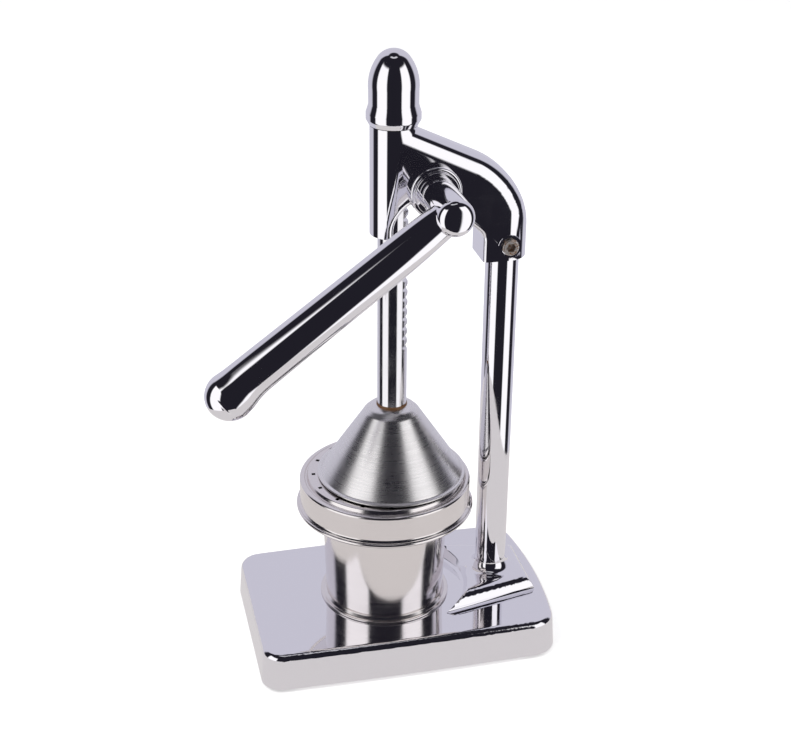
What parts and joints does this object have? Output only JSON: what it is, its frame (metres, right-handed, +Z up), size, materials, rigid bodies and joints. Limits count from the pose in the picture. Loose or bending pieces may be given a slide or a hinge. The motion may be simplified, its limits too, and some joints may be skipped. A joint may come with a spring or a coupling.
{
  "type": "lever citrus juice press",
  "caption": "Bench-standing citrus press with a side lever that drives a rack rod and bell down on a fluted reamer over a strainer pan and juice cup.",
  "frame": {"origin": "centre of the footprint of the whole press, on the surface that the rubber feet stand on", "axes": "+Z up from the bench, -Y towards the user and the cup, +Y towards the column, +X on the lever's side"},
  "size_m": [0.1295, 0.2204, 0.3812],
  "materials": {
    "chrome": "bright chrome plate over cast and machined metal",
    "rod_chrome": "plated steel bar with cut teeth",
    "stainless": "polished stainless sheet, slightly warm",
    "spun_steel": "spun and polished steel, satin",
    "rubber": "black moulded rubber",
    "collar_brown": "browned steel ring",
    "bronze": "plain turned bearing bronze",
    "gear_steel": "cut steel, lightly oiled",
    "clamp_steel": "zinc-plated socket-head screw with rust at its rim",
    "fastener_steel": "zinc-plated steel"
  },
  "bodies": {
    "stand": {"base_casting": "chrome", "rubber_feet": "rubber", "foot_screws": "fastener_steel", "column_tube": "chrome", "column_plug": "fastener_steel", "column_bolt": "fastener_steel", "column_washer": "fastener_steel", "head_casting": "chrome", "head_clamp_screw": "clamp_steel", "shaft_bushes": "bronze", "juice_cup": "stainless", "strainer_pan": "stainless", "reamer_dome": "stainless"},
    "ram": {"rack_rod": "rod_chrome", "cap_knob": "chrome", "rod_collar": "collar_brown", "press_bell": "spun_steel", "bell_nut": "fastener_steel"},
    "lever": {"lever_arm": "chrome", "lever_shaft": "gear_steel", "lever_set_screw": "fastener_steel", "drive_pinion": "gear_steel", "pinion_key": "gear_steel", "boss_washer": "chrome", "shaft_end_washer": "fastener_steel", "shaft_clip": "fastener_steel"}
  },
  "joints": [
    {"name": "lever_turn", "type": "hinge", "parent": "stand", "child": "lever", "pos_m": [-0.00175, 0.0302, 0.302], "axis": [-1, 0, 0], "range_deg": [0, 230]},
    {"name": "rod_slide", "type": "slide", "parent": "stand", "child": "ram", "axis": [0, 0, 1], "range_m": [0, 0.0563]}
  ],
  "couplings": [
    {"joint": "rod_slide", "follows": "lever_turn", "m_per_rad": 0.014}
  ]
}
